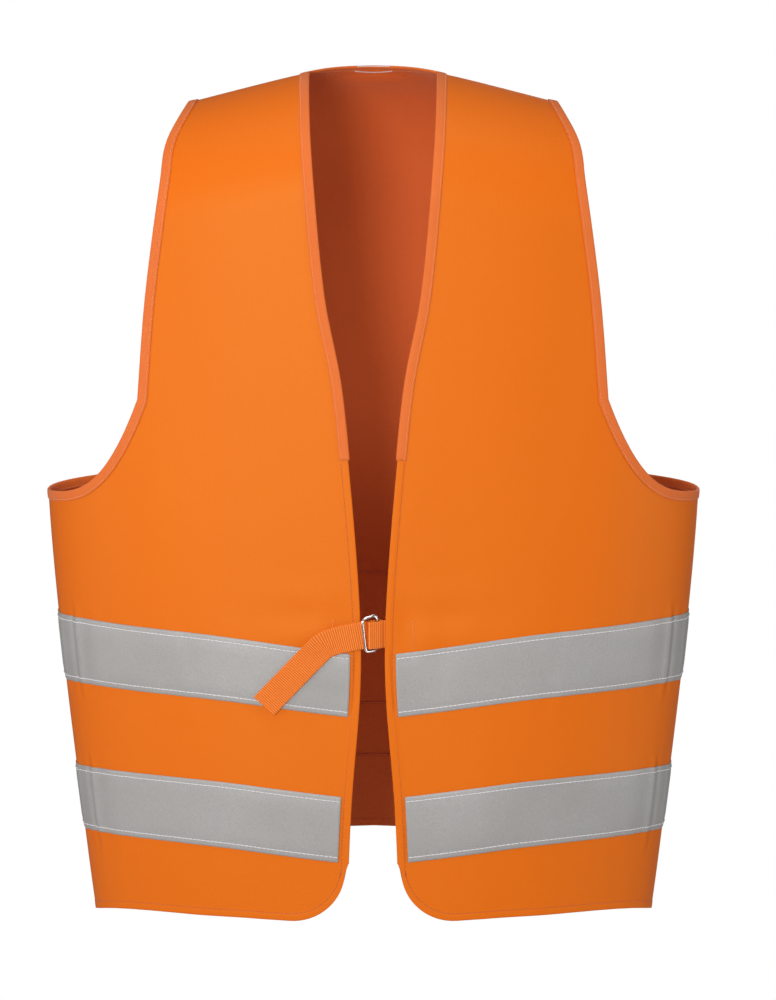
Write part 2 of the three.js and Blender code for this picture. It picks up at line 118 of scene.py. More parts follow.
# ---- Cloth, trim and hardware ----
CLOTH = 0.7
HEM_WIDTH = 5.5
TAPE = 0.45
TAPE_REST = 0.12  # the gap under the tape
TAPE_INSET = 8
TAPE_STITCH = 3.8
BINDING = 0.45
BINDING_WIDTH = 6.5
BINDING_REACH = 0.75  # how far the binding's outer face stands off the cloth
WEBBING = 1
WEBBING_WIDTH = 20
SEWN_DEPTH = 22
RIB_PITCH = 1.55
RIB_HEIGHT = 0.2
RIB_ROOT = 0.12  # how far the hollows between ribs lie below half the thickness
EDGE_STARTS = 0.93  # the share of the half width where the webbing's edge begins to thin
WIRE_RADIUS = 0.9
RING_LENGTH = 10.6
RING_SLANT = 1.2  # how far each end of the front ring's bar leans sideways
# The strap's middle from the ring's bar to its end, as (sideways, down)
STRAP_TAIL = [(0, 0), (-10, 2), (-20, 4.4), (-29, 8), (-37.5, 16), (-48, 27), (-73, 53.7)]


# ---- Curves ----
def smooth_line(pairs, position):
    """A smooth line through (position, value) pairs, read at any number of positions."""
    at, value = np.array(pairs, float).T
    slopes = np.concatenate([
        [(value[1] - value[0]) / (at[1] - at[0])],
        (value[2:] - value[:-2]) / (at[2:] - at[:-2]),
        [(value[-1] - value[-2]) / (at[-1] - at[-2])],
    ])
    i = np.searchsorted(at[1:-1], position)
    span = at[i + 1] - at[i]
    t = np.clip((position - at[i]) / span, 0, 1)
    start = (1 + 2 * t) * (1 - t) ** 2 * value[i] + t * (1 - t) ** 2 * span * slopes[i]
    end = t * t * (3 - 2 * t) * value[i + 1] - t * t * (1 - t) * span * slopes[i + 1]
    return start + end


def smoothstep(x, low, high):
    t = np.clip((x - low) / (high - low), 0, 1)
    return t * t * (3 - 2 * t)


def between(value, low, high, soft):
    """1 between low and high, fading to 0 over soft on each side."""
    return smoothstep(value, low - soft, low) * (1 - smoothstep(value, high, high + soft))


def ridge(x, middle, width):
    return np.exp(-(((x - middle) / width) ** 2))


def steps(count, start=0.0, end=1.0):
    return np.linspace(start, end, count + 1)


def lerp(a, b, t):
    return a + (b - a) * t


def along_lengths(points):
    """How far along a line of points each one is."""
    return np.concatenate([[0], np.cumsum(np.linalg.norm(np.diff(points, axis=0), axis=1))])


def read_along(at, values, where):
    """Rows of values, known at some lengths, read at others."""
    return np.stack([np.interp(where, at, column) for column in values.T], 1)


# ---- The worn form ----
def half_width(drop):
    t = np.maximum(drop - UNDERARM, 0) / (HEM - UNDERARM)
    return HALF_CHEST - (HALF_CHEST - HALF_HEM) * t ** 1.3


def sideways(angle, drop):
    """How far points of the worn shape are from its middle plane."""
    return half_width(drop) * np.sin(np.abs(angle)) ** (2 / SQUARENESS)


def angle_at(x, drop):
    share = np.minimum(np.abs(x) / half_width(drop), 1)
    return np.sign(x) * np.arcsin(share ** (SQUARENESS / 2))


def body_point(side, angle, drop):
    """The points of the worn shape at angles round the body and drops below the shoulder line."""
    outward = np.maximum(np.cos(angle), 0) ** (2 / SQUARENESS)
    roll = np.sqrt(1 - (1 - np.clip(drop / SHOULDER_ROLL, 0, 1)) ** 2)
    x = np.sign(angle) * sideways(angle, drop)
    beyond = np.abs(x) - SHOULDER_FLAT
    slope = -SHOULDER_SLOPE * (beyond + np.hypot(beyond, SHOULDER_SOFT)) / 2
    fade = 1 - smoothstep(drop, 0, SHOULDER_FADE)
    y = side["facing"] * (SEAM_GAP / 2 + side["depth"] * outward * roll)
    return np.stack([x, y, slope * fade - drop], -1)


def unit(vectors):
    return vectors / np.maximum(np.linalg.norm(vectors, axis=-1, keepdims=True), 1e-12)


def normal_at(side, angle, drop):
    step = 0.002
    around = body_point(side, angle + step, drop) - body_point(side, angle - step, drop)
    at_side = np.abs(angle) > RIGHT_ANGLE - step
    straight = np.stack([0 * angle, -side["facing"] * np.sign(angle), 0 * angle], -1)
    around = np.where(at_side[..., None], straight, around)
    down = body_point(side, angle, drop + step) - body_point(side, angle, np.maximum(drop - step, 0))
    return unit(np.cross(around, down)) * side["facing"]


def mirrored(points, wearer):
    return points * [wearer, 1, 1]


def place(side, angle, drop, out, wearer=1):
    """Points moved out from the cloth's outer face, with the cloth's folds."""
    angle, drop = np.broadcast_arrays(np.asarray(angle, float), np.asarray(drop, float))
    raised = normal_at(side, angle, drop) * np.expand_dims(side["folds"](angle, drop) + out, -1)
    return mirrored(body_point(side, angle, drop) + raised, wearer)


def arc_table(depth):
    """Angles round the body at the upper tape, and how far round each one is from the middle."""
    angles = steps(400, 0, RIGHT_ANGLE)
    return angles, along_lengths(body_point({"facing": 1, "depth": depth}, angles, 430.0))


FRONT_ARC = arc_table(FRONT_DEPTH)
BACK_ARC = arc_table(BACK_DEPTH)


def arc_length(table, angle):
    return np.sign(angle) * np.interp(np.abs(angle), *table)


def soft_waves(along, down, waves):
    """A sum of long waves. Each wave is its length across, its length down, its height and its phase."""
    total = 0
    for across, deep, height, phase in waves:
        total = total + height * np.sin(2 * math.pi * (along / across + down / deep) + phase)
    return total


def ridges(x, table):
    """A sum of ridges, each its place, its width and its height. A hollow has a height below 0."""
    return sum(height * ridge(x, middle, width) for middle, width, height in table)


# Distances from the side seam, at the tapes
FRONT_PLEATS = [(27, 3.2, 0.9), (21, 4, -0.6), (52, 3, 1.1), (47, 2.2, -1.0), (72, 8, 0.4)]
BACK_PLEATS = [(30, 5, 0.8), (40, 3.5, -0.9), (50, 5, 0.7)]
# Distances from the middle: the upper tape's wrinkles, and pressed creases below the arm
OUTWARD_WRINKLES = [(141, 5, 0.5), (133, 4, -0.45), (62, 8, 0.35)]
INWARD_WRINKLES = [(110, 7, 0.4)]
UPRIGHT_WRINKLES = [(82, 4, -0.35)]
CREASES = [(190, 5, 0.35), (176, 5, 0.3), (81, 6, 0.3), (146, 9, -0.3)]
FRONT_WAVES = [(210, 900, 1.2, 0.6), (128, 520, 0.5, 2.1), (83, 700, 0.3, 4.0)]
BACK_WAVES = [(176, 1300, 1.5, 0.4), (101, 900, 0.9, 1.7), (67, -800, 0.45, 3.0)]
BACK_WRINKLES = [(43, 260, 0.28, 0.3), (29, -170, 0.18, 2.0)]
# Where the closure pulls at the cloth, each as (sideways, width, drop, height, how far out)
PULLS = [(24, 8, CLOSURE - 7, 17, -0.9), (40, 9, CLOSURE + 1, 24, 0.5), (26, 11, CLOSURE + 50, 12, -0.7)]
WRINKLE_LEAN = 0.22


def held_still(from_side, drop):
    """0 along the side seam and the shoulder line, where the cloth keeps the worn form."""
    return smoothstep(from_side, 0, 12) * smoothstep(drop, 0, 60)


def front_folds(angle, drop):
    """How far the front cloth stands out from the worn form."""
    from_side = FRONT_ARC[1][-1] - np.abs(arc_length(FRONT_ARC, angle))
    x = sideways(angle, drop)
    tapes = sum(between(drop, top, top + TAPE_HEIGHT, 16) for top in TAPE_TOPS.values())
    pleats = tapes * ridges(from_side, FRONT_PLEATS)
    slant = (drop - TAPE_TOPS["upper"] - TAPE_HEIGHT / 2) * WRINKLE_LEAN
    wrinkles = ridges(x + slant, OUTWARD_WRINKLES) + ridges(x - slant, INWARD_WRINKLES)
    wrinkles = (wrinkles + ridges(x, UPRIGHT_WRINKLES)) * between(drop, 405, 470, 14)
    creases = ridges(x, CREASES) * smoothstep(drop, 300, 400)
    pull = sum(out * ridge(x, at, wide) * ridge(drop, level, tall) for at, wide, level, tall, out in PULLS)
    ripples = 0.6 * np.sin(0.19 * (drop - 402)) * ridge(x, 52, 26) * ridge(drop, 402, 30)
    drape = 0.8 * soft_waves(x, drop, FRONT_WAVES)
    hem = 0.65 * np.sin(x / 17 + 0.5) * smoothstep(drop, 560, 640)
    edge_crease = -1.1 * ridge(x - smooth_line(FRONT_EDGE, drop), 4.4, 0.6) * between(drop, 428, 462, 12)
    folds = pleats + wrinkles + creases + pull + ripples + drape + hem + edge_crease
    return held_still(from_side, drop) * folds


def neck_stand(angle, drop):
    """The back neck stands up a little at its edge, where the binding holds it short."""
    raised = np.cos(np.minimum(sideways(angle, drop) / NECK_HALF, 1) * RIGHT_ANGLE) ** 2
    return NECK_STAND * raised * (1 - smoothstep(drop, BACK_NECK_SCOOP, BACK_NECK_SCOOP + 5))


def back_folds(angle, drop):
    """How far the back cloth stands out from the worn form."""
    along = arc_length(BACK_ARC, angle)
    from_side = BACK_ARC[1][-1] - np.abs(along)
    drape = soft_waves(along, drop, BACK_WAVES)
    drape = drape + ridge(along - 0.35 * (drop - 300), 20, 26) * ridge(drop, 330, 120)
    tapes = sum(between(drop, top - 15, top + TAPE_HEIGHT - 5, 16) for top in TAPE_TOPS.values())
    gathers = tapes * (ridges(from_side, BACK_PLEATS) + soft_waves(along, drop, BACK_WRINKLES))
    folds = smoothstep(drop, 120, 480) * drape + gathers
    return held_still(from_side, drop) * folds + neck_stand(angle, drop)


FRONT = {
    "facing": -1, "depth": FRONT_DEPTH, "sag": FRONT_SAG, "folds": front_folds, "arc": FRONT_ARC,
    "curve": {"flatness": 6, "slope": 0.1, "bunch": 1.2},
}
BACK = {
    "facing": 1, "depth": BACK_DEPTH, "sag": BACK_SAG, "folds": back_folds, "arc": BACK_ARC,
    "curve": {"flatness": 14, "slope": 0.03, "bunch": 1.4},
}


# ---- The cut of the cloth ----
def hung(side, level, angle):
    """The drops that a level of the cut cloth hangs at, at angles round the body."""
    spot = 1 - np.abs(angle) / RIGHT_ANGLE
    lines = [(at, smooth_line(list(zip(SAG_SPOTS, values)), spot)) for at, values in side["sag"]]
    found = 0 * spot
    for (above, first), (below, second) in zip(lines, lines[1:]):
        t = (level - above) / (below - above)
        here = (level > above) & ((level <= below) | (below == HEM))
        found = np.where(here, lerp(first, second, t), found)
    return level + found


def curve_level(side, share):
    """The level of the underarm curve, a share of the way from where it starts to the side seam."""
    left = 1 - share
    slope = side["curve"]["slope"]
    return UNDERARM - UNDERARM_HEIGHT * ((1 - slope) * left ** side["curve"]["flatness"] + slope * left)


def armhole_angle(side, level):
    start = UNDERARM - UNDERARM_HEIGHT
    if level <= start:
        return float(angle_at(smooth_line(SHOULDER_EDGE, level), level))
    shares = steps(2000)
    share = np.interp(level, curve_level(side, shares), shares)
    return lerp(armhole_angle(side, start), RIGHT_ANGLE, share)


def tape_rows(top):
    """Levels over one tape, close together at its edges and its stitch lines."""
    margin = np.array([0, 1.3, 2.6, TAPE_STITCH, 5, 6.6])
    return top + np.concatenate([margin, steps(9, 10, TAPE_HEIGHT - 10), TAPE_HEIGHT - margin[::-1]])


def inside(levels):
    return levels[1:-1]


ROLL_SHARES = steps(28)[:-1] ** 1.4


def levels_of(side):
    """The levels of the cloth's rows, from the bottom of the shoulder's roll to the lower tape's end."""
    return np.concatenate([
        steps(28, SHOULDER_ROLL, UNDERARM - UNDERARM_HEIGHT)[:-1],
        curve_level(side, steps(38) ** side["curve"]["bunch"]),
        inside(steps(20, UNDERARM, TAPE_TOPS["upper"])),
        tape_rows(TAPE_TOPS["upper"]),
        inside(steps(14, TAPE_TOPS["upper"] + TAPE_HEIGHT, TAPE_TOPS["lower"])),
        tape_rows(TAPE_TOPS["lower"]),
    ])


FROM_HEM = np.array([0, 1, 2.5, 4, HEM_WIDTH, 6.9, 8.7, 10.5, 13, 17, 22, 28, 35, 42, 49])
HEM_SHARES = 1 - FROM_HEM[::-1] / (HEM - TAPES_END)
FROM_EDGE = np.array([
    0, 1, 2.2, 3.4, 4.1, 4.7, HEM_WIDTH, 6.5, TAPE_INSET, 9.5,
    11, 13, 16, 19.5, 23, 27, 31, 35, 38.5, CORNER_RADIUS,
])
TO_SIDE = 1 - (1 - steps(64)[1:]) ** 1.4
FROM_MIDDLE = NECK_HALF * np.sin(steps(12) * RIGHT_ANGLE)


def row_at(side, level):
    """The number of the cloth's row that lies at a level."""
    return len(ROLL_SHARES) + int(np.argmin(np.abs(levels_of(side) - level)))


def roll_drop(turn):
    return SHOULDER_ROLL * (1 - np.cos(turn))


def front_angles(level):
    """The angles of the front's columns at one level, from its edge to the armhole or the side seam."""
    edge = smooth_line(FRONT_EDGE, level)
    to_side = lerp(angle_at(edge + CORNER_RADIUS, level), armhole_angle(FRONT, level), TO_SIDE)
    return np.concatenate([angle_at(edge + FROM_EDGE, level), to_side])


def corner_rise(from_edge):
    """How far the rounded front corner lifts the hem, at distances from the front edge."""
    left = np.clip(1 - from_edge / CORNER_RADIUS, 0, 1)
    return CORNER_RADIUS * (1 - np.sqrt(1 - left ** 2))


def front_grid():
    """Angles and drops of the whole front, rows by columns."""
    from_edge = np.concatenate([FROM_EDGE, np.full(len(TO_SIDE), CORNER_RADIUS)])
    levels = np.concatenate([roll_drop(ROLL_SHARES * RIGHT_ANGLE), levels_of(FRONT)])
    angles = [front_angles(level) for level in levels]
    drops = [hung(FRONT, level, angle) for level, angle in zip(levels, angles)]
    for share in HEM_SHARES[1:]:
        level = lerp(TAPES_END, HEM, share)
        angle = front_angles(level)
        top = hung(FRONT, TAPES_END, angle)
        bottom = hung(FRONT, HEM, angle) - corner_rise(from_edge)
        angles.append(angle)
        drops.append(lerp(top, bottom, share))
    return np.array(angles), np.array(drops)


def back_angles(level):
    to_side = lerp(angle_at(NECK_HALF, level), armhole_angle(BACK, level), TO_SIDE)
    half = np.concatenate([angle_at(FROM_MIDDLE, level), to_side])
    return np.concatenate([-half[:0:-1], half])


def back_grid():
    """Angles and drops of the whole back, rows by columns."""
    scooped = np.cos(FROM_MIDDLE / NECK_HALF * RIGHT_ANGLE) ** 2
    turn = np.arccos(1 - BACK_NECK_SCOOP * np.append(scooped, 0 * TO_SIDE) / SHOULDER_ROLL)
    turn = np.concatenate([turn[:0:-1], turn])
    angles, drops = [], []
    for share in ROLL_SHARES:
        drop = roll_drop(lerp(turn, RIGHT_ANGLE, share))
        angles.append([back_angles(d)[k] for k, d in enumerate(drop)])
        drops.append(drop)
    for level in np.concatenate([levels_of(BACK), lerp(TAPES_END, HEM, HEM_SHARES[1:])]):
        angle = back_angles(level)
        angles.append(angle)
        drops.append(hung(BACK, level, angle))
    return np.array(angles), np.array(drops)


# ---- Meshes ----
def make_mesh(name, points, faces, material, uv=None, second=(), second_material=None):
    """A closed mesh from millimetre points, its faces turned outward. second lists its inner faces."""
    points = np.asarray(points, float).reshape(-1, 3)
    fans = [(face[0], *pair) for face in faces for pair in zip(face[1:], face[2:])]
    a, b, c = (points[list(corner)] for corner in zip(*fans))
    if np.einsum("ij,ij->i", a, np.cross(b, c)).sum() < 0:
        faces = [tuple(reversed(face)) for face in faces]
    mesh = bpy.data.meshes.new(name)
    mesh.from_pydata((points * MM).tolist(), [], [tuple(int(v) for v in face) for face in faces])
    mesh.materials.append(material)
    if second_material:
        mesh.materials.append(second_material)
        marks = np.zeros(len(faces), int)
        marks[list(second)] = 1
        mesh.polygons.foreach_set("material_index", marks)
    if uv is not None:
        corner_points = np.zeros(len(mesh.loops), int)
        mesh.loops.foreach_get("vertex_index", corner_points)
        layer = mesh.uv_layers.new(name="Cloth")
        layer.data.foreach_set("uv", np.asarray(uv, float).reshape(-1, 2)[corner_points].ravel() * MM)
    mesh.polygons.foreach_set("use_smooth", np.ones(len(faces), bool))
    mesh.update()
    piece = bpy.data.objects.new(name, mesh)
    bpy.context.collection.objects.link(piece)
    return piece


def grid_faces(number):
    """The squares of a grid of points, from the grid of their numbers."""
    corner_numbers = number[:-1, :-1], number[1:, :-1], number[1:, 1:], number[:-1, 1:]
    return np.stack(corner_numbers, -1).reshape(-1, 4)


def shell(name, outer, inner, uv, material, inner_material=None):
    """A sheet of cloth as a closed mesh: an outer and an inner grid of points, joined round their rim."""
    count = outer.shape[0] * outer.shape[1]
    number = np.arange(count).reshape(outer.shape[:2])
    rim = np.concatenate([number[0, :-1], number[:-1, -1], number[-1, :0:-1], number[:0:-1, 0]])
    after = np.roll(rim, -1)
    front = grid_faces(number)
    back = grid_faces(number + count)[:, ::-1]
    edge = np.stack([rim, after, after + count, rim + count], 1)
    faces = np.concatenate([front, edge, back])
    points = np.concatenate([outer.reshape(-1, 3), inner.reshape(-1, 3)])
    both = np.concatenate([uv.reshape(-1, 2)] * 2)
    second = range(len(front) + len(edge), len(faces)) if inner_material else ()
    return make_mesh(name, points, faces.tolist(), material, both, second, inner_material)


def seam(side, angle, drop, out, wearer=1):
    """Points of a line of stitches, and which way their threads stand out of the cloth."""
    facing = math.copysign(1, out + CLOTH / 2)
    normals = mirrored(normal_at(side, angle, drop), wearer) * facing
    return place(side, angle, drop, out, wearer), normals


def thread_line(points, normals, pitch, thread, share=0.78, lift=0.5):
    """Stitches along a line of points: small pointed rods, each as twelve points."""
    at = along_lengths(points)
    count = max(int(at[-1] / pitch), 1)
    middles = (np.arange(count) + 0.5) * at[-1] / count
    half = pitch * share / 2
    start, end = (read_along(at, points, middles + part) for part in (-half, half))
    normal = unit(read_along(at, normals, middles))
    across = unit(np.cross(end - start, normal))
    middle = (start + end) / 2 + normal * thread * lift
    reach = (end - start) / 2
    rods = [middle - reach, middle + reach]
    for turn in steps(5, 0, 2 * math.pi)[:-1]:
        swell = (normal * math.cos(turn) + across * math.sin(turn)) * thread
        rods += [middle - reach * 0.84 + swell, middle + reach * 0.84 + swell]
    return np.stack(rods, 1)


def threads(name, lines, material):
    """One mesh of all the stitches in several lines."""
    rods = np.concatenate(lines)
    faces = []
    for k in range(5):
        low, next_low = 2 + 2 * k, 2 + 2 * ((k + 1) % 5)
        high, next_high = low + 1, next_low + 1
        faces += [(0, next_low, low), (low, next_low, next_high, high), (1, high, next_high)]
    every = [tuple(12 * rod + v for v in face) for rod in range(len(rods)) for face in faces]
    return make_mesh(name, rods.reshape(-1, 3), every, material)


# ---- Materials ----
def feed(material, socket, value):
    """Give a node's input a value or another node's output."""
    if isinstance(value, bpy.types.NodeSocket):
        material.node_tree.links.new(value, socket)
    else:
        socket.default_value = value


def feed_all(material, node, inputs):
    for key, value in inputs.items():
        feed(material, node.inputs[key.replace("_", " ")], value)


def add_node(material, kind, settings=(), **inputs):
    """A shader node with its settings, and its inputs by name: each a value or another node's output."""
    node = material.node_tree.nodes.new(kind)
    for key, value in dict(settings).items():
        setattr(node, key, value)
    feed_all(material, node, inputs)
    return node


def bands(material, coordinate, pitch, direction):
    """Even waves across the cloth, from 0 to 1, a pitch apart in millimetres."""
    scale = 2 * math.pi / 20 / (pitch * MM)
    settings = {"wave_type": "BANDS", "bands_direction": direction}
    return add_node(material, "ShaderNodeTexWave", settings, Vector=coordinate, Scale=scale).outputs["Fac"]


def noise(material, coordinate, size, detail=3.0):
    """Soft noise whose patches are about a size across, in millimetres."""
    inputs = {"Vector": coordinate, "Scale": 1 / (size * MM), "Detail": detail}
    return add_node(material, "ShaderNodeTexNoise", **inputs).outputs["Fac"]


def mixed(material, share, first, second):
    """A colour mixed from two by a share, which is a node's output."""
    node = add_node(material, "ShaderNodeMix", {"data_type": "RGBA"}, Factor=share)
    for socket, colour in ((node.inputs[6], first), (node.inputs[7], second)):
        feed(material, socket, (*colour, 1) if isinstance(colour, tuple) else colour)
    return node.outputs[2]


def arithmetic(material, operation, first, second=0.0):
    node = add_node(material, "ShaderNodeMath", {"operation": operation})
    feed(material, node.inputs[0], first)
    feed(material, node.inputs[1], second)
    return node.outputs[0]


def scaled(material, value, factor, added=0.0):
    """A value times a factor, with something added."""
    return arithmetic(material, "ADD", arithmetic(material, "MULTIPLY", value, factor), added)


def new_material(name, **uniform):
    """A material with its shader, and the values that are the same all over it."""
    material = bpy.data.materials.new(name)
    material.use_nodes = True
    return connect(material, **uniform)


def connect(material, **inputs):
    feed_all(material, material.node_tree.nodes["Principled BSDF"], inputs)
    return material


def bump(material, height, depth, strength=1.0, under=None):
    """A bump of a depth in millimetres, over another bump if there is one."""
    node = add_node(material, "ShaderNodeBump", Height=height, Distance=depth * MM, Strength=strength)
    if under:
        feed(material, node.inputs["Normal"], under)
    return node.outputs["Normal"]


def coordinates(material):
    node = add_node(material, "ShaderNodeTexCoord")
    return node.outputs["UV"], node.outputs["Object"]


def knit_height(material, flat, pitch):
    """The dots of a warp knit: columns of loops crossed by rows."""
    columns = bands(material, flat, pitch, "X")
    return arithmetic(material, "MULTIPLY", columns, bands(material, flat, pitch * 1.2, "Y"))


def knit_material(name, low, high, loop_shade, pitch, depth, **uniform):
    """Knitted cloth: its colour drifts between two shades, and a painted shade darkens it between its
    loops.
    """
    material = new_material(name, **uniform)
    flat, solid = coordinates(material)
    knit = knit_height(material, flat, pitch)
    drift = mixed(material, noise(material, solid, 90), low, high)
    fibre = noise(material, solid, 0.9, 2.0)
    # Painted shade: the colour is mixed towards the darker shade where the knit is low, between its loops.
    colour = mixed(material, scaled(material, knit, -0.3, 0.3), drift, loop_shade)
    raised = bump(material, knit, depth, 0.8, bump(material, fibre, 0.12))
    roughness = scaled(material, fibre, 0.2, uniform["Roughness"] - 0.1)
    return connect(material, Base_Color=colour, Normal=raised, Roughness=roughness)


def binding_material():
    """Folded binding: a softer, paler knit whose fine ribs run aslant."""
    material = new_material("binding_knit", Roughness=0.7, Sheen_Weight=0.06, Sheen_Roughness=0.4)
    flat, solid = coordinates(material)
    turned = add_node(material, "ShaderNodeMapping", Vector=flat, Rotation=(0, 0, math.radians(38)))
    ribs = bands(material, turned.outputs["Vector"], 1.1, "X")
    drift = mixed(material, noise(material, solid, 12), BINDING_LOW, BINDING_HIGH)
    colour = mixed(material, scaled(material, ribs, 0.4), drift, BINDING_DARK)
    fibre = bump(material, noise(material, solid, 0.8, 2.0), 0.12)
    return connect(material, Base_Color=colour, Normal=bump(material, ribs, 0.22, 0.7, fibre))


def tape_material():
    """Reflective tape: grey cloth covered with fine glass beads, lighter and darker in broad patches of
    painted sheen.
    """
    material = new_material("glass_bead_tape", Metallic=0.1, Specular_IOR_Level=0.5)
    solid = coordinates(material)[1]
    beads = noise(material, solid, 0.6, 3.0)
    sheen_patches = noise(material, solid, 60)
    sparkle = add_node(material, "ShaderNodeMapRange", Value=beads, From_Min=0.2, From_Max=0.8)
    # Painted sheen: the grey drifts between a darker and a lighter shade in broad patches.
    grey = mixed(material, sheen_patches, TAPE_LOW, TAPE_HIGH)
    colour = mixed(material, sparkle.outputs["Result"], TAPE_DARK, grey)
    roughness = scaled(material, sheen_patches, 0.16, 0.4)
    raised = bump(material, beads, 0.14, 0.8)
    return connect(material, Base_Color=colour, Roughness=roughness, Normal=raised)


def webbing_material():
    """Ribbed webbing: paler along the crest of each rib, a painted highlight, with the threads' fine twill.
    """
    material = new_material("ribbed_webbing", Roughness=0.6, Specular_IOR_Level=0.2)
    flat, solid = coordinates(material)
    ribs = bands(material, flat, RIB_PITCH, "X")
    # Painted highlight: the colour turns paler towards the crest of each rib.
    crest_highlight = arithmetic(material, "POWER", ribs, 2.5)
    drift = mixed(material, noise(material, solid, 8), WEBBING_LOW, WEBBING_MID)
    raised = bump(material, bands(material, flat, 0.45, "Y"), 0.1, 0.6)
    return connect(material, Base_Color=mixed(material, crest_highlight, drift, WEBBING_CREST_HIGHLIGHT), Normal=raised)


def thread_material(name, colour):
    """Sewing thread: two plies twisted together."""
    material = new_material(name, Roughness=0.5, Sheen_Weight=0.3)
    solid = coordinates(material)[1]
    twist = noise(material, solid, 0.5, 1.0)
    shade = mixed(material, twist, tuple(0.72 * part for part in colour), colour)
    return connect(material, Base_Color=shade, Normal=bump(material, twist, 0.1, 0.7))


def ring_material():
    """Nickel-plated wire with faint rubbed streaks."""
    material = new_material("nickel_wire", Metallic=1.0, Base_Color=(0.80, 0.79, 0.77, 1))
    solid = coordinates(material)[1]
    streaks = noise(material, solid, 1.6, 4.0)
    roughness = scaled(material, streaks, 0.16, 0.1)
    return connect(material, Roughness=roughness, Normal=bump(material, streaks, 0.004, 0.4))


def label_material():
    """A plain woven label, darker in the hollows of its weave: painted shade."""
    material = new_material("woven_label", Roughness=0.6, Sheen_Weight=0.2)
    flat = coordinates(material)[0]
    weave = knit_height(material, flat, 0.5)
    # Painted shade: the label's colour is darker where its weave is low.
    colour = mixed(material, weave, (0.62, 0.58, 0.55), (0.83, 0.80, 0.77))
    return connect(material, Base_Color=colour, Normal=bump(material, weave, 0.1, 0.7))


# Colours, as linear red, green and blue
BINDING_LOW, BINDING_HIGH, BINDING_DARK = (0.78, 0.150, 0.014), (0.82, 0.175, 0.020), (0.68, 0.12, 0.009)
TAPE_LOW, TAPE_HIGH, TAPE_DARK = (0.38, 0.36, 0.345), (0.55, 0.545, 0.53), (0.30, 0.285, 0.275)
# The webbing's third colour is a painted highlight for the crests of its ribs.
WEBBING_LOW, WEBBING_MID, WEBBING_CREST_HIGHLIGHT = (0.74, 0.12, 0.003), (0.78, 0.135, 0.004), (0.88, 0.30, 0.06)
PEACH = (0.90, 0.32, 0.10)
WHITE = (0.86, 0.82, 0.84)
# The hem stitches are real thread, but their dark rust colour is a painted shadow along the hem's stitch
# line.
RUST_SHADE = (0.56, 0.085, 0.010)

FABRIC = knit_material(
    "fluorescent_knit", (0.78, 0.138, 0.0005), (0.81, 0.146, 0.0008), (0.76, 0.13, 0.0005), 1.25, 0.05,
    Roughness=0.58, Specular_IOR_Level=0.5, Specular_Tint=(0.4, 1, 0.42, 1),
)
# The inner face: a darker, duller copy of the fabric's colours, a painted shade for the inside of the worn
# vest, with a strong painted shade between its loops.
SHADED_INSIDE = knit_material(
    "knit_inner_side_shaded", (0.66, 0.115, 0.019), (0.72, 0.13, 0.024), (0.42, 0.055, 0.008), 1.6, 0.2,
    Roughness=0.8, Sheen_Weight=0.2, Sheen_Tint=(1, 0.6, 0.4, 1), Specular_IOR_Level=0.3,
)
TRIM = binding_material()
SILVER = tape_material()
RIBBED = webbing_material()
WHITE_THREAD = thread_material("white_thread", WHITE)
PEACH_THREAD = thread_material("peach_thread", PEACH)
# Hem thread in a dark colour: a painted shadow along the hem.
RUST_SHADE_THREAD = thread_material("rust_shade_thread", RUST_SHADE)
NICKEL = ring_material()
LABEL = label_material()


def attach(piece, body, slot, *nodes):
    """The piece moves with its body's empty, except a front, whose transform is only baked in. The CAD
    nodes it stands for are hidden.
    """
    if body in ("front_right", "front_left"):
        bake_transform(piece)
    else:
        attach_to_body(piece, body)
    if nodes:
        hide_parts(*nodes)
    return piece


SIDE_NAMES = {1: "left", -1: "right"}


# ---- Panels ----
def hem_profile(distance):
    """How far the outer face lies below full height: a raised hem band, then a groove at its stitches."""
    band = 0.3 * smoothstep(distance, HEM_WIDTH, HEM_WIDTH + 1.2)
    groove = 0.25 * ridge(distance, HEM_WIDTH, 0.8)
    return -band - groove


def distance_to_hem(side, angle, drop):
    return hung(side, HEM, angle) - drop


def cloth_uv(side, angle, drop):
    return np.stack([arc_length(side["arc"], angle), -drop], -1)


FRONT_GRID = front_grid()
BACK_GRID = back_grid()


def front_distance(angle, drop):
    """How far points of the front are from its edge or hem, round the corner too."""
    from_edge = sideways(angle, drop) - smooth_line(FRONT_EDGE, drop)
    from_hem = distance_to_hem(FRONT, angle, drop)
    round_corner = CORNER_RADIUS - np.hypot(CORNER_RADIUS - from_edge, CORNER_RADIUS - from_hem)
    in_corner = (from_edge < CORNER_RADIUS) & (from_hem < CORNER_RADIUS)
    return np.where(in_corner, round_corner, np.minimum(from_edge, from_hem))


def cloth_panel(name, side, body, node, grid, from_hem, wearer=1):
    """The cloth of one panel, from its grid of angles and drops and how far these are from the hem."""
    outer, inner = (place(side, *grid, out, wearer) for out in (hem_profile(from_hem), -CLOTH))
    return attach(shell(name, outer, inner, cloth_uv(side, *grid), FABRIC, SHADED_INSIDE), body, "fabric", node)


# ---- Reflective tapes ----
def tape_profile(from_long_edge):
    """The tape's height over the cloth: curled down at its edges, held down along the stitches."""
    middle = 0.35 * smoothstep(from_long_edge, TAPE_STITCH, TAPE_STITCH + 6)
    margin = -0.36 * (1 - smoothstep(from_long_edge, 0, TAPE_STITCH - 0.6))
    return TAPE_REST + TAPE + middle + margin - 0.12 * ridge(from_long_edge, TAPE_STITCH, 0.7)


